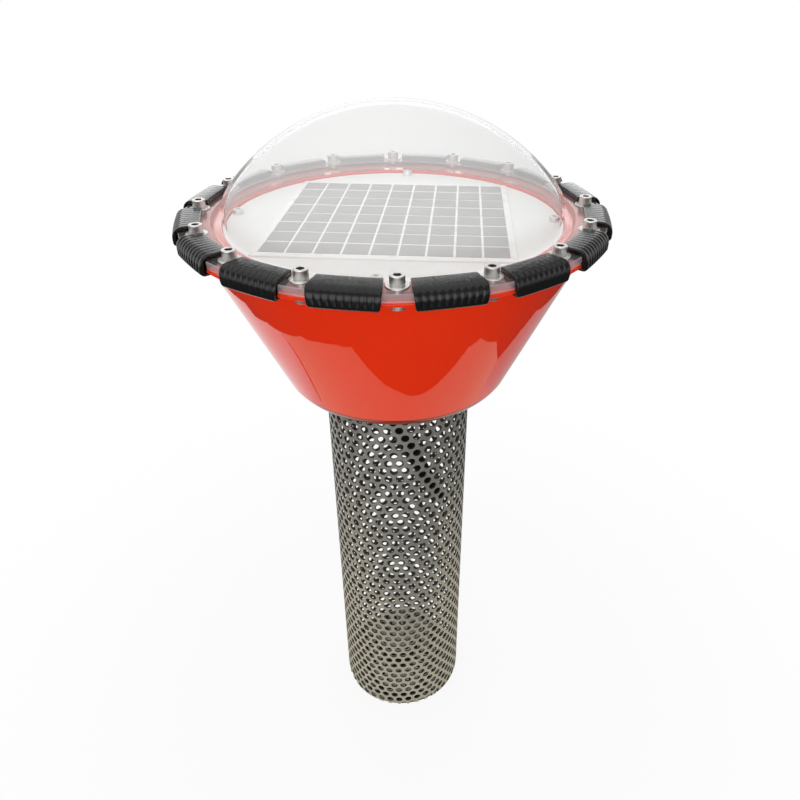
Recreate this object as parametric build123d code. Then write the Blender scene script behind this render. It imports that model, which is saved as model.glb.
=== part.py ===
from build123d import *
import math
import os

# Water quality monitoring buoy. A clear dome over a solar deck is clamped by a bolted flange to a
# conical float, with a guard tube below it for the sensor probe.
# Millimetres, +Z up, front towards -Y, origin at the centre of the guard's foot.

# Guard tube
guard_d = 133.0
guard_wall = 1.5
guard_length = 414.0
guard_base_t = 1.5
guard_columns = 12
guard_rows = 8
guard_web = 12.0
guard_band = 14.0
weld_gap = 0.1
guard_lug_count = 4
guard_lug_t = 3.0
guard_lug_reach = 18.0
guard_lug_w = 22.0
guard_lug_angle = 45.0
guard_screw_inset = 8.0
guard_screw_d = 5.0
guard_screw_cover = 2.0
guard_screw_head_d = 9.5
guard_screw_head_h = 2.75

# Conical float
float_height = 146.5
float_shoulder = 27.5
float_edge_r = 24.5
float_wall = 4.0
float_floor_t = 6.0
float_floor_r = 12.0
float_flange_t = 2.5
float_flange_overhang = 9.5

# Deck inside the float's mouth
deck_d = 271.0
deck_t = 4.0
deck_depth = 2.0
deck_gap = 0.5
deck_turn = -6.0
ledge_w = 14.0
ledge_t = 10.0
deck_screw_count = 4
deck_screw_edge = 6.0
deck_screw_d = 4.0
deck_screw_length = 10.0
deck_screw_head_d = 8.0
deck_screw_head_h = 3.0

# Solar panel on the deck
panel_corner_gap = 1.3
panel_t = 1.5
panel_corner_r = 3.0
panel_border_x = 4.4
panel_border_y = 5.9
cell_columns = 9
cell_rows = 4
cell_gap_x = 1.4
cell_gap_y = 1.6
cell_t = 0.3

# Dome and gasket
dome_margin = 1.5
dome_rise = 81.0
dome_knuckle_r = 30.0
dome_foot_r = 8.0
dome_wall = 4.0
dome_flange_t = 5.0
gasket_t = 1.5
gasket_inset = 5.0

# Flange bolts, each with a flat washer and a nut held in a pocket under the flange
bolt_count = 16
bolt_to_dome = 19.0
bolt_to_edge = 12.5
bolt_d = 6.0
bolt_end_gap = 0.6
bolt_head_d = 10.0
bolt_head_h = 6.0
bolt_socket_af = 5.0
bolt_socket_depth = 3.0
washer_d = 16.0
washer_t = 1.6
nut_af = 10.0
nut_h = 6.0
hole_gap = 0.3
thread_gap = 0.05
pocket_gap = 0.3

# Ribbed rubber edge trim between the bolts
trim_washer_gap = 0.1
trim_lip_t = 3.8
trim_wall = 3.1
trim_lip_reach = 17.5
trim_foot_t = 2.4
trim_foot_reach = 7.0
trim_edge_r = 2.2
trim_gap = 0.3
trim_groove_count = 9
trim_groove_w = 1.4
trim_groove_depth = 0.7

# Sensor probe, hanging from a gland in the float's floor and leaning to the right
gland_x = -9.0
gland_wall_gap = 34.0
gland_body_d = 24.0
gland_body_h = 6.0
gland_nut_d = 20.0
gland_nut_h = 8.0
probe_d = 14.0
probe_drop = 12.0
probe_fall = 105.0
probe_wall_gap = 7.4
probe_bend_r = 40.0
probe_tip_r = 4.0

# Battery on the float's floor
battery_width = 65.0
battery_height = 94.0
battery_gap = 2.3

# How far a cutter runs past the face it opens
cut_over = 1.0

# Radii worked out from the deck outwards and from the guard tube outwards
deck_r = deck_d / 2
recess_r = deck_r + deck_gap
ledge_r = recess_r - ledge_w
deck_screw_circle_r = deck_r - deck_screw_edge
dome_r = deck_r + dome_margin
gasket_bore_r = dome_r + gasket_inset
bolt_circle_r = dome_r + bolt_to_dome
flange_r = bolt_circle_r + bolt_to_edge
float_top_r = flange_r - float_flange_overhang
guard_r = guard_d / 2
guard_bore_r = guard_r - guard_wall
guard_screw_circle_r = guard_bore_r - guard_screw_inset
float_bottom_r = guard_r + float_shoulder

# Levels from the foot upwards
float_bottom_z = guard_length
float_floor_z = float_bottom_z + float_floor_t
flange_under_z = float_bottom_z + float_height
flange_z = flange_under_z + float_flange_t
gasket_z = flange_z + gasket_t
dome_flange_z = gasket_z + dome_flange_t
washer_z = dome_flange_z + washer_t
deck_z = flange_z - deck_depth
ledge_z = deck_z - deck_t
ledge_under_z = ledge_z - ledge_t
panel_z = deck_z + panel_t

# Other sizes that follow from the pieces they fit
float_slope = (float_top_r - float_bottom_r) / float_height
float_wall_across = float_wall * math.hypot(1, float_slope)
guard_window_w = math.pi * guard_d / guard_columns - guard_web
guard_rise = (guard_length - 2 * guard_band + guard_web) / guard_rows
guard_window_h = guard_rise - guard_web
guard_screw_length = guard_lug_t + float_floor_t - guard_screw_cover
panel_side = (deck_d - 2 * panel_corner_gap) / math.sqrt(2)
cell_pitch_x = (panel_side - 2 * panel_border_x) / cell_columns
cell_pitch_y = (panel_side - 2 * panel_border_y) / cell_rows
bolt_length = washer_z - flange_under_z + nut_h - bolt_end_gap
bolt_step = 360 / bolt_count
first_bolt = -90
first_deck_screw = first_bolt + deck_turn
first_lug = first_bolt + guard_lug_angle
trim_angle = bolt_step - 2 * math.degrees(math.asin((washer_d / 2 + trim_washer_gap) / bolt_circle_r))
gland_y = gland_wall_gap - guard_bore_r


def float_inner_r(z):
    return float_bottom_r + float_slope * (z - float_bottom_z) - float_wall_across


def disc(radius, bottom, top):
    return Pos(0, 0, bottom) * extrude(Circle(radius), top - bottom)


def ring(bore_r, outer_r, bottom, top):
    return Pos(0, 0, bottom) * extrude(Circle(outer_r) - Circle(bore_r), top - bottom)


def around(shape, circle_r, count, start):
    return [loc * shape for loc in PolarLocations(circle_r, count, start)]


def at_bolts(shape):
    return around(shape, bolt_circle_r, bolt_count, first_bolt)


def at_deck_screws(shape):
    return around(shape, deck_screw_circle_r, deck_screw_count, first_deck_screw)


def at_guard_screws(shape):
    return around(shape, guard_screw_circle_r, guard_lug_count, first_lug)


def corner(sketch, radius, height):
    return sketch.vertices().sort_by_distance((radius, height, 0))[0]


def turned(profile, angle=360):
    return revolve(Plane.XZ * profile, Axis.Z, angle)


def make_float():
    inner_top_r = float_inner_r(ledge_under_z)
    inner_floor_r = float_inner_r(float_floor_z)
    outline = Polyline(
        (0, float_bottom_z),
        (float_bottom_r, float_bottom_z),
        (float_top_r, flange_under_z),
        (flange_r, flange_under_z),
        (flange_r, flange_z),
        (recess_r, flange_z),
        (recess_r, ledge_z),
        (ledge_r, ledge_z),
        (ledge_r, ledge_under_z),
        (inner_top_r, ledge_under_z),
        (inner_floor_r, float_floor_z),
        (0, float_floor_z),
        close=True,
    )
    profile = make_face(outline)
    profile = fillet(corner(profile, float_bottom_r, float_bottom_z), float_edge_r)
    profile = fillet(corner(profile, inner_floor_r, float_floor_z), float_floor_r)
    shell = turned(profile)
    hole = disc(bolt_d / 2 + hole_gap, flange_under_z - cut_over, flange_z + cut_over)
    pocket_r = nut_af / math.sqrt(3) + pocket_gap
    pocket = disc(pocket_r, flange_under_z - nut_h - pocket_gap, flange_under_z)
    deck_hole_bottom = deck_z - deck_screw_length - cut_over
    deck_hole = disc(deck_screw_d / 2 + thread_gap, deck_hole_bottom, ledge_z + cut_over)
    floor_hole_top = float_bottom_z - guard_lug_t + guard_screw_length + thread_gap
    floor_hole = disc(guard_screw_d / 2 + thread_gap, float_bottom_z - cut_over, floor_hole_top)
    shell -= at_bolts(hole)
    shell -= at_bolts(pocket)
    shell -= at_deck_screws(deck_hole)
    shell -= at_guard_screws(floor_hole)
    return shell


def make_deck():
    deck = disc(deck_r, ledge_z, deck_z)
    hole = disc(deck_screw_d / 2 + hole_gap, ledge_z - cut_over, deck_z + cut_over)
    deck -= at_deck_screws(hole)
    return deck


def make_deck_screws():
    screw = disc(deck_screw_d / 2, deck_z - deck_screw_length, deck_z)
    screw += disc(deck_screw_head_d / 2, deck_z, deck_z + deck_screw_head_h)
    return Compound(at_deck_screws(screw))


def make_panel():
    board = extrude(RectangleRounded(panel_side, panel_side, panel_corner_r), panel_t)
    return Pos(0, 0, deck_z) * Rot(0, 0, deck_turn) * board


def make_cells():
    cell = extrude(Rectangle(cell_pitch_x - cell_gap_x, cell_pitch_y - cell_gap_y), cell_t)
    places = GridLocations(cell_pitch_x, cell_pitch_y, cell_columns, cell_rows)
    field = Pos(0, 0, panel_z) * Rot(0, 0, deck_turn)
    return Compound([field * place * cell for place in places])


def make_dome():
    knuckle_x = dome_r - dome_knuckle_r
    crown_rise = dome_rise - dome_knuckle_r
    cap_centre = (crown_rise**2 - knuckle_x**2) / (2 * crown_rise)
    cap_r = dome_rise - cap_centre
    blend = math.degrees(math.atan2(-cap_centre, knuckle_x))
    bore_r = dome_r - dome_wall
    apex_z = dome_flange_z + dome_rise
    knuckle = (knuckle_x, dome_flange_z)
    cap = (0, dome_flange_z + cap_centre)
    edges = Polyline(
        (bore_r, dome_flange_z),
        (bore_r, gasket_z),
        (flange_r, gasket_z),
        (flange_r, dome_flange_z),
        (dome_r, dome_flange_z),
    ).edges()
    edges += CenterArc(knuckle, dome_knuckle_r, 0, blend).edges()
    edges += CenterArc(cap, cap_r, blend, 90 - blend).edges()
    edges += Line((0, apex_z), (0, apex_z - dome_wall)).edges()
    edges += CenterArc(cap, cap_r - dome_wall, blend, 90 - blend).edges()
    edges += CenterArc(knuckle, dome_knuckle_r - dome_wall, 0, blend).edges()
    profile = make_face(edges)
    profile = fillet(corner(profile, dome_r, dome_flange_z), dome_foot_r)
    dome = turned(profile)
    dome -= at_bolts(disc(bolt_d / 2 + hole_gap, gasket_z - cut_over, dome_flange_z + cut_over))
    return dome


def make_gasket():
    gasket = ring(gasket_bore_r, flange_r, flange_z, gasket_z)
    gasket -= at_bolts(disc(bolt_d / 2 + hole_gap, flange_z - cut_over, gasket_z + cut_over))
    return gasket


def make_bolts():
    head_top = washer_z + bolt_head_h
    bolt = disc(bolt_d / 2, washer_z - bolt_length, washer_z)
    bolt += disc(bolt_head_d / 2, washer_z, head_top)
    socket = extrude(RegularPolygon(bolt_socket_af / 2, 6, major_radius=False), bolt_socket_depth)
    bolt -= Pos(0, 0, head_top - bolt_socket_depth) * socket
    return Compound(at_bolts(bolt))


def make_washers():
    return Compound(at_bolts(ring(bolt_d / 2 + hole_gap, washer_d / 2, dome_flange_z, washer_z)))


def make_nuts():
    face = RegularPolygon(nut_af / 2, 6, major_radius=False) - Circle(bolt_d / 2 + thread_gap)
    nut = Pos(0, 0, flange_under_z - nut_h) * extrude(face, nut_h)
    return Compound(at_bolts(nut))


def make_trim():
    inner_r = flange_r + trim_gap
    outer_r = inner_r + trim_wall
    lip_r = flange_r - trim_lip_reach
    foot_r = flange_r - trim_foot_reach
    top = dome_flange_z + trim_lip_t
    bottom = flange_under_z - trim_foot_t
    outline = Polyline(
        (lip_r, dome_flange_z),
        (lip_r, top),
        (outer_r, top),
        (outer_r, bottom),
        (foot_r, bottom),
        (foot_r, flange_under_z),
        (inner_r, flange_under_z),
        (inner_r, dome_flange_z),
        close=True,
    )
    profile = make_face(outline)
    profile = fillet([corner(profile, outer_r, top), corner(profile, outer_r, bottom)], trim_edge_r)
    trim = Rot(0, 0, -trim_angle / 2) * turned(profile, trim_angle)
    # Each groove runs along the top lip and down the outer face at one depth
    core_r = outer_r - trim_groove_depth
    core_top = top - trim_groove_depth
    core = make_face(
        Polyline(
            (lip_r - 2 * cut_over, bottom + trim_edge_r),
            (lip_r - 2 * cut_over, core_top),
            (core_r, core_top),
            (core_r, bottom + trim_edge_r),
            close=True,
        )
    )
    core = fillet(corner(core, core_r, core_top), trim_edge_r - trim_groove_depth)
    width = outer_r - lip_r + 3 * cut_over
    height = top - bottom - trim_edge_r + cut_over
    cover = Pos(lip_r - cut_over + width / 2, bottom + trim_edge_r + height / 2) * Rectangle(width, height)
    groove = extrude(Plane.XZ * (cover - core), trim_groove_w / 2, both=True)
    step = trim_angle / (trim_groove_count + 1)
    first = -trim_angle / 2 + step
    trim -= [Rot(0, 0, first + step * number) * groove for number in range(trim_groove_count)]
    return trim


def make_guard():
    # A plain grid of windows stands for the fine perforation; each cutter makes two opposite ones
    tube = ring(guard_bore_r, guard_r, 0, guard_length)
    cutter = Box(2 * guard_d, guard_window_w, guard_window_h)
    turn = 360 / guard_columns
    cutters = []
    for row in range(guard_rows):
        z = guard_band + guard_window_h / 2 + guard_rise * row
        start = turn / 2 * (row % 2)
        for column in range(guard_columns // 2):
            cutters.append(Pos(0, 0, z) * Rot(0, 0, start + turn * column) * cutter)
    return tube - cutters


def make_guard_base():
    return disc(guard_bore_r - weld_gap, 0, guard_base_t)


def make_guard_lugs():
    bottom = guard_length - guard_lug_t
    band = Circle(guard_bore_r - weld_gap) - Circle(guard_bore_r - guard_lug_reach)
    tab = band & Pos(guard_bore_r, 0) * Rectangle(2 * guard_bore_r, guard_lug_w)
    tab -= Pos(guard_screw_circle_r, 0) * Circle(guard_screw_d / 2 + hole_gap)
    lug = Pos(0, 0, bottom) * extrude(tab, guard_lug_t)
    step = 360 / guard_lug_count
    return Compound([Rot(0, 0, first_lug + step * number) * lug for number in range(guard_lug_count)])


def make_guard_screws():
    seat = guard_length - guard_lug_t
    screw = disc(guard_screw_d / 2, seat, seat + guard_screw_length)
    screw += disc(guard_screw_head_d / 2, seat - guard_screw_head_h, seat)
    return Compound(at_guard_screws(screw))


def make_gland():
    body_z = float_bottom_z - gland_body_h
    body = Pos(0, 0, body_z) * extrude(RegularPolygon(gland_body_d / 2, 6), gland_body_h)
    body += disc(gland_nut_d / 2, body_z - gland_nut_h, body_z)
    return Pos(gland_x, gland_y, 0) * body


def make_probe():
    start_z = float_bottom_z - gland_body_h - gland_nut_h
    start = Vector(gland_x, gland_y, start_z)
    bend = start - Vector(0, 0, probe_drop)
    tip_r = guard_bore_r - probe_wall_gap - probe_d / 2
    tip_x = math.sqrt(tip_r**2 - gland_y**2)
    tip = Vector(tip_x, gland_y, bend.Z - probe_fall)
    path = FilletPolyline(start, bend, tip, radius=probe_bend_r)
    section = Plane(start, z_dir=(0, 0, -1)) * Circle(probe_d / 2)
    probe = sweep(section, path=path)
    end = probe.faces().sort_by(Axis.Z)[0]
    return fillet(end.edges(), probe_tip_r)


def make_battery():
    # The block's corners stand just inside the flat of the floor
    wall_turn = math.pi / 2 - math.atan(float_slope)
    flat_r = float_inner_r(float_floor_z) - float_floor_r * math.tan(wall_turn / 2)
    battery_length = 2 * math.sqrt((flat_r - battery_gap) ** 2 - (battery_width / 2) ** 2)
    block = Box(battery_length, battery_width, battery_height, align=(Align.CENTER, Align.CENTER, Align.MIN))
    return Pos(0, 0, float_floor_z) * block


pieces = {
    "float_hull": make_float(),
    "deck_plate": make_deck(),
    "deck_screws": make_deck_screws(),
    "solar_panel": make_panel(),
    "solar_cells": make_cells(),
    "dome": make_dome(),
    "gasket": make_gasket(),
    "flange_bolts": make_bolts(),
    "flange_washers": make_washers(),
    "flange_nuts": make_nuts(),
    "guard_tube": make_guard(),
    "guard_base": make_guard_base(),
    "guard_lugs": make_guard_lugs(),
    "guard_screws": make_guard_screws(),
    "probe_gland": make_gland(),
    "sensor_probe": make_probe(),
    "battery": make_battery(),
}
trim = make_trim()
for number in range(bolt_count):
    pieces[f"edge_trim_{number + 1:02d}"] = Rot(0, 0, first_bolt + bolt_step * (number + 0.5)) * trim

os.makedirs("parts", exist_ok=True)
for name, shape in pieces.items():
    export_step(shape, f"parts/{name}.step")
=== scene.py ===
import math
import random

import bmesh
import bpy
import numpy as np
from mathutils import Matrix, Vector
from mathutils.geometry import delaunay_2d_cdt


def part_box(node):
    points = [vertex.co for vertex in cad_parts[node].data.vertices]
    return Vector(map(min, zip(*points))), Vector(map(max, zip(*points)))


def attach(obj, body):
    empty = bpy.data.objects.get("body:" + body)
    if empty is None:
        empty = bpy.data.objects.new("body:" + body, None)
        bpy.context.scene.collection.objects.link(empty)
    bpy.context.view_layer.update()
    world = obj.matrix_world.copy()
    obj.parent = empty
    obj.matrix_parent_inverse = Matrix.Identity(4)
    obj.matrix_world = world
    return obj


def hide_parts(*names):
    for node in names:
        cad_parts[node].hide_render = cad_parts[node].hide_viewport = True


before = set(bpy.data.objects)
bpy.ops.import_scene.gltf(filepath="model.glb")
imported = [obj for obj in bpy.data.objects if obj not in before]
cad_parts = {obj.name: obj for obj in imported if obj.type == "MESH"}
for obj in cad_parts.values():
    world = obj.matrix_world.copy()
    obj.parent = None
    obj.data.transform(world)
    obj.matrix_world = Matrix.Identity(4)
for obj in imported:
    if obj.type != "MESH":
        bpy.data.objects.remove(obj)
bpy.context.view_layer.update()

# Water quality monitoring buoy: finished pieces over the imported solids, in millimetres until they
# are made into meshes.

random.seed(7)


def bottom_of(node):
    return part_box(node)[0].z * 1000


def top_of(node):
    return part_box(node)[1].z * 1000


# Levels taken from the solids
guard_top = top_of("guard_tube")
guard_base_top = top_of("guard_base")
float_bottom = bottom_of("float_hull")
flange_top = top_of("float_hull")
gasket_top = top_of("gasket")
washer_low = bottom_of("flange_washers")
head_top = top_of("flange_bolts")
bolt_end = bottom_of("flange_bolts")
nut_low = bottom_of("flange_nuts")
nut_top = top_of("flange_nuts")
apex = top_of("dome")
deck_low = bottom_of("deck_plate")
deck_top = top_of("deck_plate")
panel_top = top_of("solar_panel")
cells_top = top_of("solar_cells")
trim_top = top_of("edge_trim_01")
trim_low = bottom_of("edge_trim_01")
gland_low = bottom_of("probe_gland")

# Float
flange_r = 168.5
flange_under = 560.5
float_top_r = 159.0
float_low_r = 94.0
float_edge_r = 24.5
groove_turn = math.radians(24.3)
groove_width = 1.0
groove_depth = 2.0
ring_inset = 0.3
float_wall = 4.4
float_floor = 420.0
recess_r = 136.0
ledge_r = 122.0
ledge_low = 547.0

# Deck, panel and cells
deck_r = 135.5
deck_turn = math.radians(-6.0)
screw_circle_r = 129.5
deck_head_r = 4.5
deck_head_height = 3.9
deck_socket = 4.0
panel_side = 189.8
panel_corner_r = 3.0
cell_columns = 9
cell_rows = 4
cell_pitch_x = 20.11
cell_pitch_y = 44.5
cell_gap_x = 1.8
cell_gap_y = 2.1
busbar_w = 1.6

# Dome and gasket
dome_r = 137.0
dome_knuckle_r = 30.0
dome_foot_r = 8.0
dome_wall = 4.0
dome_rise = apex - washer_low
gasket_bore_r = 142.0

# Flange screws, washers and nuts
bolt_count = 16
bolt_circle_r = 156.0
shank_r = 3.0
head_r = 5.0
head_socket = 5.0
socket_depth = 3.0
knurl_depth = 0.16
washer_bore_r = 3.2
washer_r = 8.0
washer_t = 1.0
nut_across = 10.0
step = 2 * math.pi / bolt_count
first = -math.pi / 2

# Rubber trims
trim_outer_r = 171.9
trim_lip_r = 151.0
trim_foot_r = 161.5
trim_inner_r = 168.8
trim_top_round = 8.0
trim_low_round = 3.5
trim_angle = math.radians(16.5)
trim_straight = 0.6
trim_slant = 2.2
rib_count = 10
rib_parts = 8
rib_depth = 0.6
rib_on_lip = 0.05
rib_fade = 6.0
rib_stop = 3.0
# How far the plain stations at each end are drawn in, from the cut face inwards
end_depths = (0.5, 0.12, 0.0, 0.0)

# Guard, its lugs and the probe's gland
guard_r = 66.5
guard_wall = 1.5
guard_columns = 40
guard_row_step = 8.94
guard_wind = 2
guard_hole_r = 3.75
guard_hem = 3.2
base_r = 64.9
base_pitch = 10.3
lug_circle_r = 57.0
gland_x = -9.0
gland_y = -31.0
gland_r = 10.0
gland_across = 20.7


# Section and mesh helpers

def rounded(corners, steps=5, lead=0.0):
    """Closed outline of (x, y, corner radius) with each corner turned into an arc; lead points just
    before and after an arc keep the shading of the flats beside it flat."""
    points = []
    for i, (x, y, radius) in enumerate(corners):
        here = np.array((x, y))
        if radius == 0:
            points.append((x, y))
            continue
        last = corners[i - 1]
        following = corners[(i + 1) % len(corners)]
        back = np.array((last[0], last[1])) - here
        ahead = np.array((following[0], following[1])) - here
        back = back / np.linalg.norm(back)
        ahead = ahead / np.linalg.norm(ahead)
        half = math.acos(max(-1, min(1, float(back @ ahead)))) / 2
        middle = back + ahead
        centre = here + middle / np.linalg.norm(middle) * radius / math.sin(half)
        start = here + back * radius / math.tan(half) - centre
        end = here + ahead * radius / math.tan(half) - centre
        sweep = math.pi - 2 * half
        if lead:
            points.append(tuple(centre + start + back * lead))
        for k in range(steps + 1):
            t = k / steps
            mix = (start * math.sin((1 - t) * sweep) + end * math.sin(t * sweep)) / math.sin(sweep)
            points.append(tuple(centre + mix))
        if lead:
            points.append(tuple(centre + end + ahead * lead))
    return points


def arc(cx, cy, radius, start, end, steps):
    angles = [start + (end - start) * k / steps for k in range(steps + 1)]
    return [(cx + radius * math.cos(a), cy + radius * math.sin(a)) for a in angles]


def turned(section, segments=192):
    """A closed section of (r, z) turned about the axis."""
    count = len(section)
    verts = []
    faces = []
    for s in range(segments):
        a = 2 * math.pi * s / segments
        verts += [(r * math.cos(a), r * math.sin(a), z) for r, z in section]
    for s in range(segments):
        n = (s + 1) % segments
        for k in range(count):
            m = (k + 1) % count
            faces.append((s * count + k, n * count + k, n * count + m, s * count + m))
    return verts, faces


def lathe(rings, segments=72):
    """Rings of (radius or function of the step, z) from one end to the other, closed at both ends."""
    verts = []
    faces = []
    for radius, z in rings:
        for s in range(segments):
            a = 2 * math.pi * s / segments
            r = radius(s, a) if callable(radius) else radius
            verts.append((r * math.cos(a), r * math.sin(a), z))
    for k in range(len(rings) - 1):
        for s in range(segments):
            n = (s + 1) % segments
            faces.append((k * segments + s, k * segments + n, (k + 1) * segments + n, (k + 1) * segments + s))
    faces.append(tuple(range(segments)))
    last = (len(rings) - 1) * segments
    faces.append(tuple(range(last, last + segments)))
    return verts, faces


def hexagon(across):
    """Radius of a hexagon with that size across its flats."""
    def radius(s, a):
        turn = (a + math.pi / 6) % (math.pi / 3) - math.pi / 6
        return across / 2 / math.cos(turn)
    return radius


def moved(part, x=0.0, y=0.0, z=0.0, turn=0.0):
    verts, faces = part
    c = math.cos(turn)
    s = math.sin(turn)
    return [(c * vx - s * vy + x, s * vx + c * vy + y, vz + z) for vx, vy, vz in verts], faces


def on_circle(part, radius, count, start):
    """Copies of a part on a circle, each turned with its place."""
    copies = []
    for k in range(count):
        a = start + 2 * math.pi * k / count
        copies.append(moved(part, radius * math.cos(a), radius * math.sin(a), 0, a))
    return copies


def piece(name, parts, mat, nodes, crease=32, weld=0.001):
    """Joins parts into one mesh that rides on the root and stands for the CAD nodes."""
    verts = []
    faces = []
    for part_verts, part_faces in parts:
        base = len(verts)
        verts += part_verts
        faces += [tuple(base + i for i in face) for face in part_faces]
    mesh = bpy.data.meshes.new(name)
    mesh.from_pydata([(x * 0.001, y * 0.001, z * 0.001) for x, y, z in verts], [], faces)
    bm = bmesh.new()
    bm.from_mesh(mesh)
    if weld:
        bmesh.ops.remove_doubles(bm, verts=bm.verts[:], dist=weld * 0.001)
    bmesh.ops.recalc_face_normals(bm, faces=bm.faces[:])
    bm.to_mesh(mesh)
    bm.free()
    mesh.shade_smooth()
    mesh.set_sharp_from_angle(angle=math.radians(crease))
    return dress(name, mesh, mat, nodes)


def shade(obj, inside, mat=None):
    """Gives the faces whose centre lies inside a further material, by default the steel painted dark as
    shade.
    """
    obj.data.materials.append(mat or steel_painted_shade)
    index = len(obj.data.materials) - 1
    for face in obj.data.polygons:
        if inside(face.center):
            face.material_index = index


def dress(name, mesh, mat, nodes):
    """Puts a mesh in the scene with its material and the nodes that it stands for."""
    mesh.materials.append(mat)
    obj = bpy.data.objects.new(name, mesh)
    bpy.context.scene.collection.objects.link(obj)
    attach(obj, "root")
    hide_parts(*nodes)
    return obj


# Node helpers

def feed(tree, socket, value):
    """Links an output to a socket, or sets the socket to a number."""
    if isinstance(value, bpy.types.NodeSocket):
        tree.links.new(value, socket)
    else:
        socket.default_value = value


def math_node(tree, operation, a, b):
    node = tree.nodes.new("ShaderNodeMath")
    node.operation = operation
    feed(tree, node.inputs[0], a)
    feed(tree, node.inputs[1], b)
    return node.outputs[0]


def range_node(tree, value, low, high, start=0.0, end=1.0, curve="LINEAR"):
    """Low where the value is at the start, high where it is at the end."""
    node = tree.nodes.new("ShaderNodeMapRange")
    node.interpolation_type = curve
    feed(tree, node.inputs["Value"], value)
    feed(tree, node.inputs["From Min"], start)
    feed(tree, node.inputs["From Max"], end)
    feed(tree, node.inputs["To Min"], low)
    feed(tree, node.inputs["To Max"], high)
    return node.outputs["Result"]


def split_node(tree, vector):
    node = tree.nodes.new("ShaderNodeSeparateXYZ")
    tree.links.new(vector, node.inputs["Vector"])
    return node.outputs


def mix_node(tree, share, one, other):
    """One shader with a share of the other."""
    node = tree.nodes.new("ShaderNodeMixShader")
    feed(tree, node.inputs["Fac"], share)
    tree.links.new(one, node.inputs[1])
    tree.links.new(other, node.inputs[2])
    return node.outputs["Shader"]


# Materials

class Mat:
    """A principled material with noise helpers; coordinates are the object's own."""

    def __init__(self, name, color, rough, metal=0.0):
        self.mat = bpy.data.materials.new(name)
        self.mat.use_nodes = True
        self.tree = self.mat.node_tree
        self.shader = self.tree.nodes["Principled BSDF"]
        self.shader.inputs["Base Color"].default_value = (*color, 1)
        self.shader.inputs["Roughness"].default_value = rough
        self.shader.inputs["Metallic"].default_value = metal
        self.coords = self.tree.nodes.new("ShaderNodeTexCoord").outputs["Object"]

    def set(self, socket, value):
        self.shader.inputs[socket].default_value = value

    def link(self, a, b):
        self.tree.links.new(a, b)

    def noise(self, scale, detail=4.0, stretch=None):
        vector = self.coords
        if stretch:
            mapping = self.tree.nodes.new("ShaderNodeMapping")
            mapping.inputs["Scale"].default_value = stretch
            self.link(vector, mapping.inputs["Vector"])
            vector = mapping.outputs["Vector"]
        node = self.tree.nodes.new("ShaderNodeTexNoise")
        node.inputs["Scale"].default_value = scale
        node.inputs["Detail"].default_value = detail
        self.link(vector, node.inputs["Vector"])
        return node.outputs["Fac"]

    def range(self, value, low, high, start=0.3, end=0.7):
        return range_node(self.tree, value, low, high, start, end)

    def colors(self, value, low, high, start=0.3, end=0.7):
        node = self.tree.nodes.new("ShaderNodeValToRGB")
        node.color_ramp.elements[0].position = start
        node.color_ramp.elements[0].color = (*low, 1)
        node.color_ramp.elements[1].position = end
        node.color_ramp.elements[1].color = (*high, 1)
        self.link(value, node.inputs["Fac"])
        self.link(node.outputs["Color"], self.shader.inputs["Base Color"])

    def rough(self, value, low, high):
        self.link(self.range(value, low, high), self.shader.inputs["Roughness"])

    def bump(self, value, strength, distance):
        node = self.tree.nodes.new("ShaderNodeBump")
        node.inputs["Strength"].default_value = strength
        node.inputs["Distance"].default_value = distance
        self.link(value, node.inputs["Height"])
        self.link(node.outputs["Normal"], self.shader.inputs["Normal"])
        return node.outputs["Normal"]


def gelcoat(name, low, high):
    m = Mat(name, low, 0.3)
    m.colors(m.noise(9.0), low, high)
    m.rough(m.noise(26.0), 0.26, 0.34)
    normal = m.bump(m.noise(140.0, 2.0), 0.02, 0.0004)
    m.set("Specular IOR Level", 0.0)
    m.set("Coat Weight", 1.0)
    m.set("Coat Roughness", 0.02)
    m.link(normal, m.shader.inputs["Coat Normal"])
    return m.mat


def board():
    m = Mat("white_board", (0.90, 0.895, 0.875), 0.5)
    m.colors(m.noise(18.0, 6.0), (0.885, 0.88, 0.86), (0.915, 0.91, 0.89))
    m.rough(m.noise(60.0), 0.42, 0.56)
    m.bump(m.noise(900.0, 2.0), 0.06, 0.0002)
    return m.mat


def laminate():
    m = Mat("white_laminate", (0.92, 0.918, 0.90), 0.3)
    m.colors(m.noise(25.0), (0.91, 0.908, 0.89), (0.93, 0.928, 0.91))
    m.rough(m.noise(80.0), 0.24, 0.34)
    m.bump(m.noise(600.0, 2.0), 0.05, 0.0002)
    return m.mat


def silicon_cell():
    # The cells' grey is lighter than bare silicon to stand in for the white surroundings they reflect, a
    # painted reflection
    m = Mat("solar_cell", (0.315, 0.312, 0.30), 0.4)
    m.colors(m.noise(30.0, 5.0), (0.29, 0.288, 0.276), (0.34, 0.337, 0.324))
    m.rough(m.noise(90.0), 0.36, 0.48)
    m.set("Specular IOR Level", 0.25)
    return m.mat


def ribbon():
    m = Mat("cell_ribbon", (0.85, 0.85, 0.835), 0.32)
    m.colors(m.noise(200.0), (0.82, 0.82, 0.805), (0.88, 0.88, 0.865))
    m.rough(m.noise(150.0), 0.26, 0.4)
    return m.mat


# The wall is thin and its faces are parallel, so a low index keeps its edges as faint as they look
acrylic_ior = 1.01
scatter_through = 0.74


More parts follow.
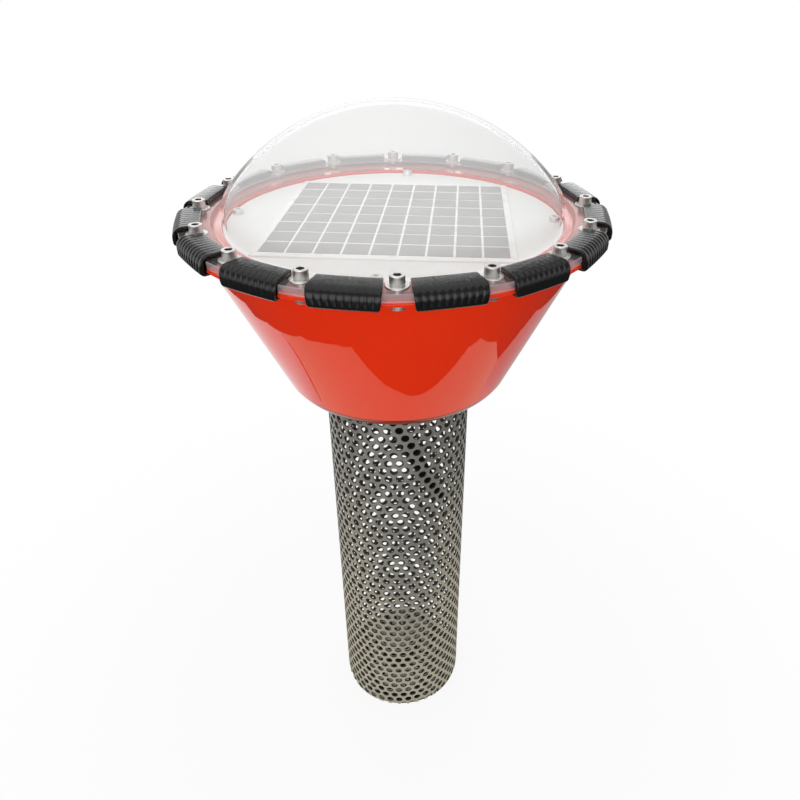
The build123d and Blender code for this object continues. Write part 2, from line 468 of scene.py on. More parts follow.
def acrylic(name, haze, low_rough, high_rough, gloss, tint=(0.97, 0.967, 0.96)):
    """Clear acrylic with a faint haze of the tint; light and bounced light pass straight through."""
    m = Mat(name, (0.92, 0.922, 0.92), low_rough)
    m.set("Transmission Weight", 1.0)
    m.set("IOR", acrylic_ior)
    m.set("Coat Weight", gloss)
    m.set("Coat Roughness", 0.2)
    m.rough(m.noise(14.0, 5.0), low_rough, high_rough)
    nodes = m.tree.nodes
    # The haze scatters light from above: back off faces that are turned up, and on through the others
    above = nodes.new("ShaderNodeBsdfDiffuse")
    above.inputs["Color"].default_value = (*tint, 1)
    below = nodes.new("ShaderNodeBsdfTranslucent")
    below.inputs["Color"].default_value = (*(scatter_through * c for c in tint), 1)
    normal = nodes.new("ShaderNodeNewGeometry").outputs["Normal"]
    turned_down = m.range(split_node(m.tree, normal)["Z"], 1.0, 0.0, -0.2, 0.2)
    veil = mix_node(m.tree, turned_down, above.outputs["BSDF"], below.outputs["BSDF"])
    hazy = m.range(m.noise(14.0, 3.0), haze * 0.95, haze * 1.05)
    film = mix_node(m.tree, hazy, m.shader.outputs["BSDF"], veil)
    path = nodes.new("ShaderNodeLightPath")
    through = nodes.new("ShaderNodeBsdfTransparent")
    through.inputs["Color"].default_value = (0.98, 0.982, 0.982, 1)
    light = math_node(m.tree, "MAXIMUM", path.outputs["Is Shadow Ray"], path.outputs["Is Diffuse Ray"])
    surface = mix_node(m.tree, light, film, through.outputs["BSDF"])
    m.link(surface, nodes["Material Output"].inputs["Surface"])
    return m.mat


def silicone():
    m = Mat("silicone", (0.66, 0.20, 0.18), 0.45)
    m.colors(m.noise(40.0), (0.62, 0.17, 0.15), (0.70, 0.24, 0.21))
    m.rough(m.noise(120.0), 0.38, 0.52)
    m.set("Subsurface Weight", 0.15)
    m.set("Subsurface Radius", (0.002, 0.001, 0.001))
    return m.mat


def stainless():
    m = Mat("stainless", (0.74, 0.73, 0.71), 0.4, 1.0)
    m.colors(m.noise(120.0), (0.70, 0.69, 0.67), (0.78, 0.77, 0.75))
    m.rough(m.noise(700.0, 5.0), 0.34, 0.48)
    m.bump(m.noise(1800.0, 3.0), 0.05, 0.0001)
    return m.mat


def sheet_steel():
    m = Mat("stainless_sheet", (0.53, 0.518, 0.47), 0.5, 0.9)
    m.colors(m.noise(22.0, 6.0), (0.49, 0.479, 0.434), (0.57, 0.557, 0.506))
    m.rough(m.noise(300.0, 5.0, (1.0, 1.0, 0.12)), 0.44, 0.56)
    m.bump(m.noise(700.0, 4.0, (1.0, 1.0, 0.08)), 0.06, 0.0002)
    return m.mat


def painted_shade_steel():
    """Steel painted dark inside the sockets, on the guard's inner wall and on its hole walls: painted shade.
    """
    m = Mat("painted_shade_steel", (0.09, 0.087, 0.08), 0.6, 0.6)
    m.colors(m.noise(90.0, 5.0), (0.07, 0.068, 0.062), (0.11, 0.107, 0.1))
    m.rough(m.noise(400.0, 4.0), 0.52, 0.68)
    return m.mat


def rubber():
    m = Mat("black_rubber", (0.007, 0.007, 0.007), 0.4)
    m.colors(m.noise(60.0, 6.0), (0.005, 0.005, 0.005), (0.009, 0.009, 0.009))
    m.rough(m.noise(260.0, 5.0), 0.2, 0.28)
    m.bump(m.noise(700.0, 3.0), 0.006, 0.0002)
    m.set("Specular IOR Level", 0.36)
    return m.mat


def plastic():
    m = Mat("black_plastic", (0.007, 0.007, 0.008), 0.38)
    m.colors(m.noise(80.0), (0.005, 0.005, 0.006), (0.009, 0.009, 0.01))
    m.set("Specular IOR Level", 0.2)
    m.rough(m.noise(500.0, 4.0), 0.3, 0.46)
    m.bump(m.noise(1600.0, 3.0), 0.08, 0.0001)
    return m.mat


def case():
    m = Mat("battery_case", (0.05, 0.052, 0.056), 0.45)
    m.colors(m.noise(50.0), (0.044, 0.046, 0.05), (0.056, 0.058, 0.062))
    m.rough(m.noise(400.0), 0.38, 0.52)
    m.bump(m.noise(1200.0, 3.0), 0.08, 0.0001)
    return m.mat


red = gelcoat("red_gelcoat", (0.74, 0.027, 0.004), (0.77, 0.032, 0.005))
# A darker red painted on the hull's lower ring as shade under its edge
red_painted_shade = gelcoat("red_gelcoat_painted_shade", (0.20, 0.012, 0.005), (0.23, 0.015, 0.006))
white = board()
white_glossy = laminate()
cell_grey = silicon_cell()
ribbon_pale = ribbon()
clear = acrylic("clear_acrylic", 0.2, 0.004, 0.012, 0.0)
clear_flat = acrylic("flat_acrylic", 0.05, 0.01, 0.03, 1.0)
# The sawn rim's haze is tinted pink to stand in for red light from the gasket and hull below, painted light
frosted = acrylic("sawn_acrylic", 0.32, 0.05, 0.12, 0.0, (0.95, 0.80, 0.83))
pink = silicone()
steel = stainless()
steel_sheet = sheet_steel()
steel_painted_shade = painted_shade_steel()
black_rubber = rubber()
black_plastic = plastic()
case_grey = case()


# Float: a moulded shell with a flange, softened edges and the ledge under the deck

def make_float():
    slope = (float_top_r - float_low_r) / (flange_under - float_bottom)
    inner_top = float_low_r + slope * (ledge_low - float_bottom) - float_wall
    inner_low = float_low_r + slope * (float_floor - float_bottom) - float_wall
    lean = math.atan(slope)
    edge_x = float_low_r - float_edge_r * math.tan((math.pi / 2 - lean) / 2)
    edge_z = float_bottom + float_edge_r
    ring_r = float_edge_r - ring_inset
    far_side = -groove_turn - groove_width / float_edge_r
    section = [(0.0, float_bottom + ring_inset)]
    section += arc(edge_x, edge_z, ring_r, -math.pi / 2, far_side, 10)
    section += arc(edge_x, edge_z, ring_r - groove_depth, far_side, -groove_turn, 2)
    section += arc(edge_x, edge_z, float_edge_r, -groove_turn, -lean, 2)
    section += rounded([
        (edge_x + float_edge_r * math.cos(lean), edge_z - float_edge_r * math.sin(lean), 0),
        (float_top_r, flange_under, 2.0),
        (flange_r, flange_under, 0.7),
        (flange_r, flange_top, 0.7),
        (recess_r, flange_top, 0.6),
        (recess_r, deck_low, 0.5),
        (ledge_r, deck_low, 0.6),
        (ledge_r, ledge_low, 1.0),
        (inner_top, ledge_low, 1.5),
        (inner_low, float_floor, 12.0),
        (0.0, float_floor, 0),
    ], 8, 0.2)[1:]
    shell = piece("float_shell", [turned(section, 224)], red, ["float_hull"], 40)
    # The ring below the groove gets the darker red, a painted shade
    shade(shell, lambda c: c.z * 1000 < edge_z - float_edge_r * math.sin(groove_turn) - 0.1, red_painted_shade)


# Dome: blown cap with an even wall and a fillet where it meets its flange

def make_dome():
    knuckle_x = dome_r - dome_knuckle_r
    crown = dome_rise - dome_knuckle_r
    cap_drop = (crown**2 - knuckle_x**2) / (2 * crown)
    cap_r = dome_rise - cap_drop
    blend = math.atan2(-cap_drop, knuckle_x)
    cap_z = washer_low + cap_drop
    bore = dome_r - dome_wall
    foot_x = knuckle_x + math.sqrt((dome_knuckle_r + dome_foot_r) ** 2 - dome_foot_r**2)
    meet = math.asin(dome_foot_r / (dome_knuckle_r + dome_foot_r))
    section = [(0.0, apex - dome_wall)]
    section += arc(0, cap_z, cap_r - dome_wall, math.pi / 2, blend, 40)[1:]
    section += arc(knuckle_x, washer_low, dome_knuckle_r - dome_wall, blend, 0, 14)[1:]
    section += arc(bore + 1.5, gasket_top + 1.5, 1.5, math.pi, 1.5 * math.pi, 4)
    section += arc(flange_r - 0.6, gasket_top + 0.6, 0.6, -math.pi / 2, 0, 4)
    section += arc(flange_r - 0.6, washer_low - 0.6, 0.6, 0, math.pi / 2, 4)
    section += [(flange_r - 0.8, washer_low), (foot_x + 0.2, washer_low)]
    section += arc(foot_x, washer_low + dome_foot_r, dome_foot_r, -math.pi / 2, meet - math.pi, 12)
    section += arc(knuckle_x, washer_low, dome_knuckle_r, meet, blend, 14)[1:]
    section += arc(0, cap_z, cap_r, blend, math.pi / 2, 40)[1:-1]
    section.append((0.0, apex))
    dome = piece("clear_dome", [turned(section, 224)], clear, ["dome"], 50)
    # The flat flange is clearer than the blown cap and its sawn rim is dull
    flat = (foot_x + 0.1) * 0.001
    shade(dome, lambda c: c.z < (washer_low + 0.05) * 0.001 and math.hypot(c.x, c.y) > flat, clear_flat)
    shade(dome, lambda c: math.hypot(c.x, c.y) > (flange_r - 0.3) * 0.001, frosted)


def make_gasket():
    section = rounded([
        (gasket_bore_r, flange_top, 0.5),
        (flange_r - 0.4, flange_top, 0.5),
        (flange_r - 0.4, gasket_top, 0.5),
        (gasket_bore_r, gasket_top, 0.5),
    ], 3)
    piece("flange_gasket", [turned(section, 192)], pink, ["gasket"])


# Deck, panel and cells

def make_deck():
    section = [(0.0, deck_low)]
    section += rounded([
        (0.0, deck_low, 0),
        (deck_r, deck_low, 0.4),
        (deck_r, deck_top, 0.8),
        (0.0, deck_top, 0),
    ], 4, 0.2)[1:]
    piece("deck_disc", [turned(section, 160)], white, ["deck_plate"])
    rim = deck_top + deck_head_height
    head = [
        (1.9, deck_top - 8.0),
        (2.0, deck_top - 0.2),
        (deck_head_r - 0.1, deck_top),
        (deck_head_r, deck_top + 0.3),
        (deck_head_r, rim - 0.5),
        (deck_head_r - 0.2, rim - 0.1),
        (deck_head_r - 0.5, rim),
        (hexagon(deck_socket + 0.2), rim),
        (hexagon(deck_socket), rim - 0.2),
        (hexagon(deck_socket), rim - 2.3),
        (0.3, rim - 2.9),
    ]
    screws = on_circle(lathe(head), screw_circle_r, 4, first + deck_turn)
    piece("deck_screw_heads", screws, steel, ["deck_screws"])


def slab(width, depth, corner_r, low, high, edge):
    """A plate with rounded corners and a softened upper edge."""
    rings = []
    for inset, z in ((0.0, low), (0.0, high - edge), (edge * 0.3, high - edge * 0.3), (edge, high)):
        w = width / 2 - inset
        d = depth / 2 - inset
        r = max(corner_r - inset, 0.05)
        outline = rounded([(-w, -d, r), (w, -d, r), (w, d, r), (-w, d, r)], 4)
        rings.append([(x, y, z) for x, y in outline])
    count = len(rings[0])
    verts = [v for ring in rings for v in ring]
    faces = []
    for k in range(len(rings) - 1):
        for s in range(count):
            n = (s + 1) % count
            faces.append((k * count + s, k * count + n, (k + 1) * count + n, (k + 1) * count + s))
    faces.append(tuple(range(count)))
    last = (len(rings) - 1) * count
    faces.append(tuple(range(last, last + count)))
    return verts, faces


def turned_field(x, y):
    c = math.cos(deck_turn)
    s = math.sin(deck_turn)
    return c * x - s * y, s * x + c * y


def make_panel():
    plate = slab(panel_side, panel_side, panel_corner_r, deck_top, panel_top, 0.5)
    piece("panel_board", [moved(plate, turn=deck_turn)], white_glossy, ["solar_panel"], 15)
    cell_w = cell_pitch_x - cell_gap_x
    cell_d = cell_pitch_y - cell_gap_y
    half_d = (cell_d - busbar_w) / 2
    cells = []
    ribbons = []
    for i in range(cell_columns):
        for j in range(cell_rows):
            x = (i - (cell_columns - 1) / 2) * cell_pitch_x
            y = (j - (cell_rows - 1) / 2) * cell_pitch_y
            for side in (-1, 1):
                cx, cy = turned_field(x, y + side * (half_d + busbar_w) / 2)
                half = slab(cell_w, half_d, 0.4, panel_top, cells_top, 0.1)
                cells.append(moved(half, cx, cy, 0, deck_turn))
            cx, cy = turned_field(x, y)
            bar = slab(cell_w, busbar_w - 0.06, 0.1, panel_top, cells_top + 0.05, 0.1)
            ribbons.append(moved(bar, cx, cy, 0, deck_turn))
    piece("cell_field", cells, cell_grey, ["solar_cells"], 15)
    piece("cell_ribbons", ribbons, ribbon_pale, [], 15)


# Fasteners round the flange

def make_fasteners():
    def knurl(radius):
        return lambda s, a: radius - knurl_depth * (s % 2)

    seat = washer_low + washer_t
    head = [
        (shank_r - 0.5, bolt_end),
        (shank_r, bolt_end + 0.6),
        (shank_r, seat),
        (head_r - 0.3, seat),
        (knurl(head_r - 0.1), seat + 0.25),
        (knurl(head_r), seat + 0.5),
        (knurl(head_r), head_top - 0.7),
        (head_r, head_top - 0.5),
        (head_r - 0.07, head_top - 0.2),
        (head_r - 0.3, head_top),
        (hexagon(head_socket + 0.3), head_top),
        (hexagon(head_socket), head_top - 0.25),
        (hexagon(head_socket), head_top - socket_depth),
        (0.4, head_top - socket_depth - 0.7),
    ]
    bolts = on_circle(lathe(head), bolt_circle_r, bolt_count, first)
    screws = piece("socket_screws", bolts, steel, ["flange_bolts"])

    def in_socket(c):
        turn = round((math.atan2(c.y, c.x) - first) / step) * step + first
        x = c.x * 1000 - bolt_circle_r * math.cos(turn)
        y = c.y * 1000 - bolt_circle_r * math.sin(turn)
        deep = head_top - socket_depth - 2 < c.z * 1000 < head_top - 0.15
        return deep and math.hypot(x, y) < head_socket / 2 + 0.4

    # The sockets are painted dark, a painted shade
    shade(screws, in_socket)
    washer = rounded([
        (washer_bore_r, washer_low, 0.2),
        (washer_r, washer_low, 0.35),
        (washer_r, seat, 0.35),
        (washer_bore_r, seat, 0.2),
    ], 3)
    washers = on_circle(turned(washer, 64), bolt_circle_r, bolt_count, first)
    piece("flat_washers", washers, steel, ["flange_washers"])

    def chamfered(across, round_r):
        flats = hexagon(across)
        return lambda s, a: min(flats(s, a), round_r)

    nut = [
        (shank_r + 0.05, nut_low + 2.0),
        (shank_r + 0.05, nut_low + 0.5),
        (shank_r + 0.5, nut_low),
        (nut_across / 2 - 0.25, nut_low),
        (chamfered(nut_across, nut_across / 2 + 0.3), nut_low + 0.3),
        (hexagon(nut_across), nut_low + 0.7),
        (hexagon(nut_across), nut_top),
        (2.0, nut_top),
    ]
    nuts = on_circle(lathe(nut), bolt_circle_r, bolt_count, first)
    piece("hex_nuts", nuts, steel, ["flange_nuts"])


# Ribbed rubber trim: one section swept along the flange, its outer skin drawn in at each groove

def trim_section():
    seat = washer_low
    return rounded([
        (trim_lip_r, seat + 0.05, 0.4),
        (trim_lip_r, trim_top, 1.0),
        (trim_outer_r, trim_top, trim_top_round),
        (trim_outer_r, trim_low, trim_low_round),
        (trim_foot_r, trim_low, 0.8),
        (trim_foot_r, flange_under - 0.05, 0.4),
        (trim_inner_r, flange_under - 0.05, 0.3),
        (trim_inner_r, seat + 0.05, 0.3),
    ], 5)


def make_trims():
    section = trim_section()
    count = len(section)
    normals = []
    for k in range(count):
        ax, az = section[k - 1]
        bx, bz = section[(k + 1) % count]
        length = math.hypot(bx - ax, bz - az)
        normals.append((-(bz - az) / length, (bx - ax) / length))
    # The grooves are faint on the lip, deepest round the bend and end just above the lower edge
    cut = []
    for r, z in section:
        outer = z > washer_low + 1.2 or r > trim_inner_r + 1.2
        bend = min(1.0, max(rib_on_lip, (r - trim_outer_r + trim_top_round) / rib_fade))
        cut.append(bend if outer and z > trim_low + rib_stop else 0.0)
    stations = rib_count * rib_parts
    for number in range(bolt_count):
        mid = first + step * (number + 0.5) + math.radians(random.uniform(-0.06, 0.06))
        span = trim_angle - math.radians(random.uniform(0.0, 0.16))
        skew = random.uniform(-0.004, 0.004)
        lift = random.uniform(-0.15, 0.15)
        verts = []
        faces = []
        for s in range(stations + 1):
            t = s / stations
            phase = s % rib_parts / rib_parts
            edge = min(s, stations - s)
            ribbed = edge >= len(end_depths)
            if ribbed:
                depth = rib_depth * (1 - 2 * min(phase, 1 - phase)) ** 2
            else:
                depth = end_depths[edge]
            for (r, z), (nr, nz), c in zip(section, normals, cut):
                d = depth * (c if ribbed else 1.0)
                rr = r - nr * d
                zz = z - nz * d
                reach = (rr - trim_lip_r) / (trim_outer_r - trim_lip_r)
                zz += lift * (1 - reach) * (1 if zz > trim_low + 5 else 0)
                # The ends are cut on a slant, shorter below; the stiff strip bends less than the rim
                short = trim_slant / trim_outer_r * (trim_top - zz) / (trim_top - trim_low)
                a = (span - 2 * short) * (t - 0.5) + skew * (reach - 0.5)
                out = rr * (math.cos(a) * (1 - trim_straight) + trim_straight)
                along = rr * math.sin(a)
                x = out * math.cos(mid) - along * math.sin(mid)
                y = out * math.sin(mid) + along * math.cos(mid)
                verts.append((x, y, zz))
        for s in range(stations):
            for k in range(count):
                m = (k + 1) % count
                faces.append((s * count + k, s * count + m, (s + 1) * count + m, (s + 1) * count + k))
        faces.append(tuple(range(count)))
        last = stations * count
        faces.append(tuple(range(last, last + count)))
        name = f"ribbed_trim_{number + 1:02d}"
        node = f"edge_trim_{number + 1:02d}"
        piece(name, [(verts, faces)], black_rubber, [node], 60)


# Perforated guard: a rolled sheet with real holes on a 60 degree stagger, cut square at both ends

def make_guard():
    pitch = 2 * math.pi / guard_columns
    mid_r = guard_r - guard_wall / 2
    across = pitch * mid_r
    rise = guard_row_step
    low = (rise**2 - across**2 / 4) / (2 * rise)
    high = rise - low
    corners = [(across / 2, low), (0.0, high), (-across / 2, low)]
    corners += [(-x, -z) for x, z in corners]
    rim = []
    for k in range(6):
        x, z = corners[k]
        nx, nz = corners[(k + 1) % 6]
        rim.append((x, z))
        rim.append(((x + nx) / 2, (z + nz) / 2))
    sides = len(rim)
    hole = []
    for k in range(sides):
        a = math.radians(30) + 2 * math.pi * k / sides
        hole.append((guard_hole_r * math.cos(a), guard_hole_r * math.sin(a)))
    # The rows wind up a little, as in a sheet rolled slightly off its rows
    climb = 2 * guard_wind * rise / (guard_columns * across)
    rows = int(guard_top / rise) + 3
    verts = []
    faces = []
    for j in range(-2 * guard_wind - 1, rows):
        for i in range(guard_columns):
            u0 = (i + 0.5 * (j % 2)) * across
            base = len(verts)
            for r in (guard_r, guard_r - guard_wall):
                for k, (x, z) in enumerate(rim + hole):
                    u = u0 + x
                    rises = climb * (u if k < sides else u0)
                    a = u / mid_r + first - math.pi
                    verts.append((r * math.cos(a), r * math.sin(a), j * rise + z + rises))
            for k in range(sides):
                n = (k + 1) % sides
                outer = base
                inner = base + 2 * sides
                faces.append((outer + k, outer + n, outer + sides + n, outer + sides + k))
                faces.append((inner + n, inner + k, inner + sides + k, inner + sides + n))
                faces.append((outer + sides + k, outer + sides + n, inner + sides + n, inner + sides + k))
    mesh = bpy.data.meshes.new("perforated_guard")
    mesh.from_pydata([(x * 0.001, y * 0.001, z * 0.001) for x, y, z in verts], [], faces)
    bm = bmesh.new()
    bm.from_mesh(mesh)
    bmesh.ops.remove_doubles(bm, verts=bm.verts[:], dist=2e-6)
    for height, way in ((0.0, -1), (guard_top * 0.001, 1)):
        everything = bm.verts[:] + bm.edges[:] + bm.faces[:]
        bmesh.ops.bisect_plane(
            bm, geom=everything, dist=1e-6, plane_co=(0, 0, height), plane_no=(0, 0, way), clear_outer=True
        )
    open_edges = [e for e in bm.edges if e.is_boundary]
    bmesh.ops.holes_fill(bm, edges=open_edges, sides=0)
    bmesh.ops.recalc_face_normals(bm, faces=bm.faces[:])
    bm.to_mesh(mesh)
    bm.free()
    mesh.shade_smooth()
    mesh.set_sharp_from_angle(angle=math.radians(40))
    guard = dress("perforated_guard", mesh, steel_sheet, ["guard_tube"])
    # The inner wall and the hole walls are painted dark, a painted shade
    shade(guard, lambda c: math.hypot(c.x, c.y) < (guard_r - 0.1) * 0.001)


def make_base():
    rim_steps = 132
    across = base_pitch
    points = []
    edges = []

    def loop(cx, cy, radius, steps):
        start = len(points)
        for k in range(steps):
            a = 2 * math.pi * k / steps
            points.append(Vector((cx + radius * math.cos(a), cy + radius * math.sin(a))))
            edges.append((start + k, start + (k + 1) % steps))

    loop(0, 0, base_r, rim_steps)
    span = int(base_r / across) + 2
    for j in range(-span, span + 1):
        for i in range(-span, span + 1):
            x = (i + 0.5 * (j % 2)) * across
            y = j * across * math.sqrt(3) / 2
            if math.hypot(x, y) < base_r - guard_hole_r - 1.5:
                loop(x, y, guard_hole_r, 12)
    flat, _, tris, _, _, _ = delaunay_2d_cdt(points, edges, [], 4, 1e-5)
    flat = [(p.x, p.y) for p in flat]
    # What lies inside a hole is left out
    holes = []
    for face in tris:
        cx = sum(flat[i][0] for i in face) / len(face)
        cy = sum(flat[i][1] for i in face) / len(face)
        j = round(cy / (across * math.sqrt(3) / 2))
        i = round(cx / across - 0.5 * (j % 2))
        gap = math.hypot(cx - (i + 0.5 * (j % 2)) * across, cy - j * across * math.sqrt(3) / 2)
        holes.append(gap < guard_hole_r * 0.97 and math.hypot(cx, cy) < base_r - 1.5)
    kept = [face for face, inside in zip(tris, holes) if not inside]
    count = len(flat)
    verts = [(x, y, guard_base_top) for x, y in flat] + [(x, y, 0.0) for x, y in flat]
    faces = [tuple(face) for face in kept]
    faces += [tuple(i + count for i in reversed(face)) for face in kept]
    uses = {}
    for face in kept:
        for k in range(len(face)):
            key = (face[k], face[(k + 1) % len(face)])
            uses[key] = uses.get(key, 0) + 1
    for a, b in uses:
        if (b, a) not in uses:
            faces.append((a, b, b + count, a + count))
    hem = rounded([(base_r - 1.2, 0.05, 0.2), (base_r, 0.05, 0.2), (base_r, guard_hem, 0.2),
                   (base_r - 1.2, guard_hem, 0.2)], 2)
    parts = [(verts, faces), turned(hem, rim_steps)]
    piece("perforated_base", parts, steel_sheet, ["guard_base"], 40)


# Gland, screws and the kept solids

def make_fittings():
    def grip(s, a):
        return gland_r - 0.35 * (s % 3 == 0)

    low = gland_low
    gland = [
        (4.0, low),
        (gland_r - 2.4, low),
        (gland_r - 1.4, low + 0.4),
        (gland_r - 0.4, low + 1.6),
        (grip, low + 2.4),
        (grip, low + 7.2),
        (gland_r - 0.4, low + 7.7),
        (gland_r - 0.8, low + 8.0),
        (hexagon(gland_across - 0.5), low + 8.1),
        (hexagon(gland_across), low + 8.6),
        (hexagon(gland_across), float_bottom - 0.6),
        (hexagon(gland_across - 0.5), float_bottom),
    ]
    gland = moved(lathe(gland), gland_x, gland_y)
    piece("cable_gland", [gland], black_plastic, ["probe_gland"])
    seat = bottom_of("guard_lugs")
    screw = [
        (2.5, seat + 5.0),
        (2.5, seat),
        (4.5, seat),
        (4.75, seat - 0.4),
        (4.6, seat - 1.2),
        (4.0, seat - 2.1),
        (3.0, seat - 2.6),
        (hexagon(3.4), seat - 2.75),
        (hexagon(3.0), seat - 2.5),
        (hexagon(3.0), seat - 0.9),
        (0.4, seat - 0.5),
    ]
    screws = on_circle(lathe(screw), lug_circle_r, 4, first + math.pi / 4)
    piece("guard_screw_heads", screws, steel, ["guard_screws"])
    kept = {"sensor_probe": black_plastic, "guard_lugs": steel_sheet, "battery": case_grey}
    for node, mat in kept.items():
        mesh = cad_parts[node].data
        mesh.materials.clear()
        mesh.materials.append(mat)


make_float()
make_dome()
make_gasket()
make_deck()
make_panel()
make_fasteners()
make_trims()
make_guard()
make_base()
make_fittings()


# Studio, in metres

floor_reach = 30.0
floor_tone = 0.8
painted_shade_tone = 0.03
painted_shade_r = 0.0655
white_near = 0.88
seen_fade = (0.12, 0.75)
gloss_fade = (0.3, 0.46)
world_fill = 0.55
room_level = 0.3
camera_place = (-0.0026, -0.5346, 0.7384)
camera_pitch = math.radians(31.20)
camera_swing = math.radians(3.01)
camera_roll = math.radians(0.39)
camera_lens = 30.195
camera_shift = (-0.03125, -0.0375)
# Lamps: name, place, aim, width, height, power in watts
lamps = (
    ("overhead", (-0.2, 0.2, 2.3), (0, 0, 0.4), 3.0, 3.0, 24.0),
    ("front_left", (-0.5, -2.3, 0.9), (0, 0, 0.45), 2.6, 1.8, 23.0),
    ("behind", (0, 2.3, 0.95), (0, 0, 0.6), 2.4, 0.8, 11.0),
)


def mirrored(tree, path):
    """One for rays that were reflected by a gloss, and zero for those that passed through it."""
    share = math_node(tree, "SUBTRACT", path.outputs["Is Glossy Ray"], path.outputs["Is Transmission Ray"])
    share.node.use_clamp = True
    return share


def make_floor():
    mesh = bpy.data.meshes.new("studio_floor")
    corners = [(x * floor_reach, y * floor_reach, 0) for x, y in ((-1, -1), (1, -1), (1, 1), (-1, 1))]
    mesh.from_pydata(corners, [], [(0, 1, 2, 3)])
    mat = bpy.data.materials.new("pale_floor")
    mat.use_nodes = True
    tree = mat.node_tree
    nodes = tree.nodes
    shader = nodes["Principled BSDF"]
    shader.inputs["Roughness"].default_value = 0.8
    shader.inputs["Specular IOR Level"].default_value = 0.1
    glow = nodes.new("ShaderNodeEmission")
    path = nodes.new("ShaderNodeLightPath")
    place = nodes.new("ShaderNodeTexCoord").outputs["Object"]
    length = nodes.new("ShaderNodeVectorMath")
    length.operation = "LENGTH"
    tree.links.new(place, length.inputs[0])
    distance = length.outputs["Value"]

    def white(ray, near, fade):
        share = range_node(tree, distance, near, 1.0, *fade, "SMOOTHSTEP")
        return math_node(tree, "MULTIPLY", path.outputs[ray], share)

    # Away from the object the floor is plain white; near it the shadow shows, most in reflections
    rays = ("Is Camera Ray", "Is Transmission Ray")
    direct = math_node(tree, "MAXIMUM", *[white(ray, white_near, seen_fade) for ray in rays])
    shown = math_node(tree, "MAXIMUM", direct, white("Is Glossy Ray", 0.0, gloss_fade))
    # Under the base the floor is painted near black, a painted shade
    outside = math_node(tree, "GREATER_THAN", distance, painted_shade_r)
    tree.links.new(range_node(tree, outside, painted_shade_tone, floor_tone), shader.inputs["Base Color"])
    # In reflections the pale floor glows brightest on the left and dimmer to the right, a painted light
    # falloff
    side = range_node(tree, split_node(tree, place)["X"], 1.0, 0.5, -0.25, 0.35)
    tree.links.new(range_node(tree, mirrored(tree, path), 1.0, side), glow.inputs["Strength"])
    lit = math_node(tree, "MULTIPLY", shown, outside)
    surface = mix_node(tree, lit, shader.outputs["BSDF"], glow.outputs["Emission"])
    tree.links.new(surface, nodes["Material Output"].inputs["Surface"])
    mesh.materials.append(mat)
    floor = bpy.data.objects.new("studio_floor", mesh)
    bpy.context.scene.collection.objects.link(floor)


def make_flag():
    """Cards on the floor that only reflections show, painted reflections: a dark one round the front and
    sides of the pale floor, a narrow dark line at its left, and a warm one before the object."""
    edge = [
        (0.58, 0.9), (0.54, 0.34), (0.48, 0.24), (0.4, 0.13), (0.41, 0.03), (0.35, -0.09), (0.3, -0.123),
        (0.19, -0.15), (0.0, -0.193), (-0.195, -0.208), (-0.26, -0.17), (-0.32, -0.12), (-0.4, -0.026),
        (-0.453, 0.083), (-0.508, 0.216), (-0.534, 0.355), (-0.572, 0.4), (-0.585, 0.52), (-0.6, 0.9),
    ]
    outline = [(-4, 0.9), (-4, -4), (4, -4), (4, 0.9)] + edge
    dark_line = [(-0.462, 0.112), (-0.43, 0.093), (-0.397, 0.086), (-0.351, 0.09), (-0.312, 0.105)]
    strip = dark_line + [(x + 0.004, y - 0.008) for x, y in reversed(dark_line)]
    warm = edge[3:14]
    verts = []
    faces = []
    for height, points in ((0.0005, outline), (0.0006, strip), (0.0004, warm)):
        faces.append(tuple(range(len(verts), len(verts) + len(points))))
        verts += [(x, y, height) for x, y in points]
    mesh = bpy.data.meshes.new("studio_flag")
    mesh.from_pydata(verts, [], faces)
    for name, color in (("dark_card", (0.03, 0.03, 0.03)), ("warm_sheet", (0.90, 0.84, 0.66))):
        mat = bpy.data.materials.new(name)
        mat.use_nodes = True
        shader = mat.node_tree.nodes["Principled BSDF"]
        shader.inputs["Base Color"].default_value = (*color, 1)
        shader.inputs["Roughness"].default_value = 0.9
        mesh.materials.append(mat)
    mesh.polygons[2].material_index = 1
    flag = bpy.data.objects.new("studio_flag", mesh)
    bpy.context.scene.collection.objects.link(flag)
    flag.visible_camera = False
    flag.visible_diffuse = False
    flag.visible_transmission = False
    flag.visible_shadow = False


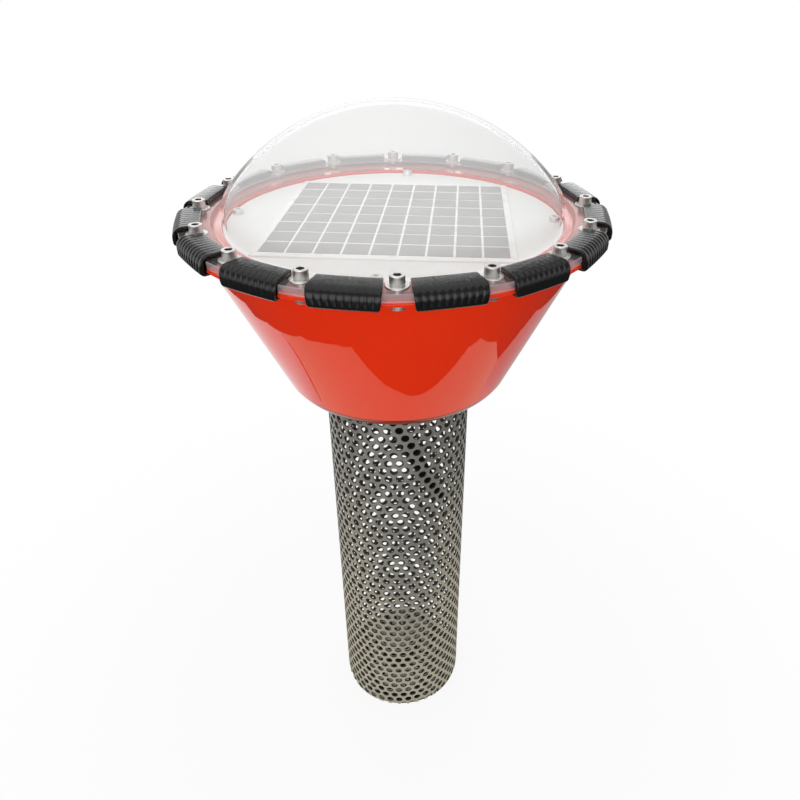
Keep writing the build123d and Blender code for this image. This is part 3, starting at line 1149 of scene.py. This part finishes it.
def make_world():
    world = bpy.data.worlds.new("studio")
    bpy.context.scene.world = world
    world.use_nodes = True
    tree = world.node_tree
    nodes = tree.nodes
    back = nodes["Background"]
    back.inputs["Color"].default_value = (1, 1, 1, 1)
    path = nodes.new("ShaderNodeLightPath")
    seen = math_node(tree, "MAXIMUM", path.outputs["Is Camera Ray"], path.outputs["Is Transmission Ray"])
    level = range_node(tree, seen, world_fill, 1.0)
    # In reflections the backdrop is white and the room above it dimmer
    way = nodes.new("ShaderNodeTexCoord").outputs["Generated"]
    room = range_node(tree, split_node(tree, way)["Z"], 1.0, room_level, 0.28, 0.39, "SMOOTHSTEP")
    tree.links.new(range_node(tree, mirrored(tree, path), level, room), back.inputs["Strength"])


def lamp(name, place, target, width, height, power):
    data = bpy.data.lights.new(name, "AREA")
    data.shape = "RECTANGLE"
    data.size = width
    data.size_y = height
    data.energy = power
    obj = bpy.data.objects.new(name, data)
    bpy.context.scene.collection.objects.link(obj)
    obj.location = place
    aim = Vector(target) - Vector(place)
    obj.rotation_euler = aim.to_track_quat("-Z", "Y").to_euler()


def make_camera():
    level = math.cos(camera_pitch)
    sideways = math.sin(camera_swing)
    forward = math.cos(camera_swing)
    ahead = Vector((sideways * level, forward * level, -math.sin(camera_pitch)))
    right = Vector((forward, -sideways, 0))
    up = right.cross(ahead)
    right_rolled = right * math.cos(camera_roll) + up * math.sin(camera_roll)
    up_rolled = up * math.cos(camera_roll) - right * math.sin(camera_roll)
    data = bpy.data.cameras.new("photo_camera")
    data.sensor_width = 36.0
    data.lens = camera_lens
    data.shift_x, data.shift_y = camera_shift
    data.clip_start = 0.01
    camera = bpy.data.objects.new("photo_camera", data)
    bpy.context.scene.collection.objects.link(camera)
    turn = Matrix((right_rolled, up_rolled, -ahead)).transposed().to_4x4()
    camera.matrix_world = Matrix.Translation(camera_place) @ turn
    bpy.context.scene.camera = camera


make_floor()
make_flag()
make_world()
for row in lamps:
    lamp(*row)
make_camera()
bpy.context.scene.view_settings.view_transform = "Standard"
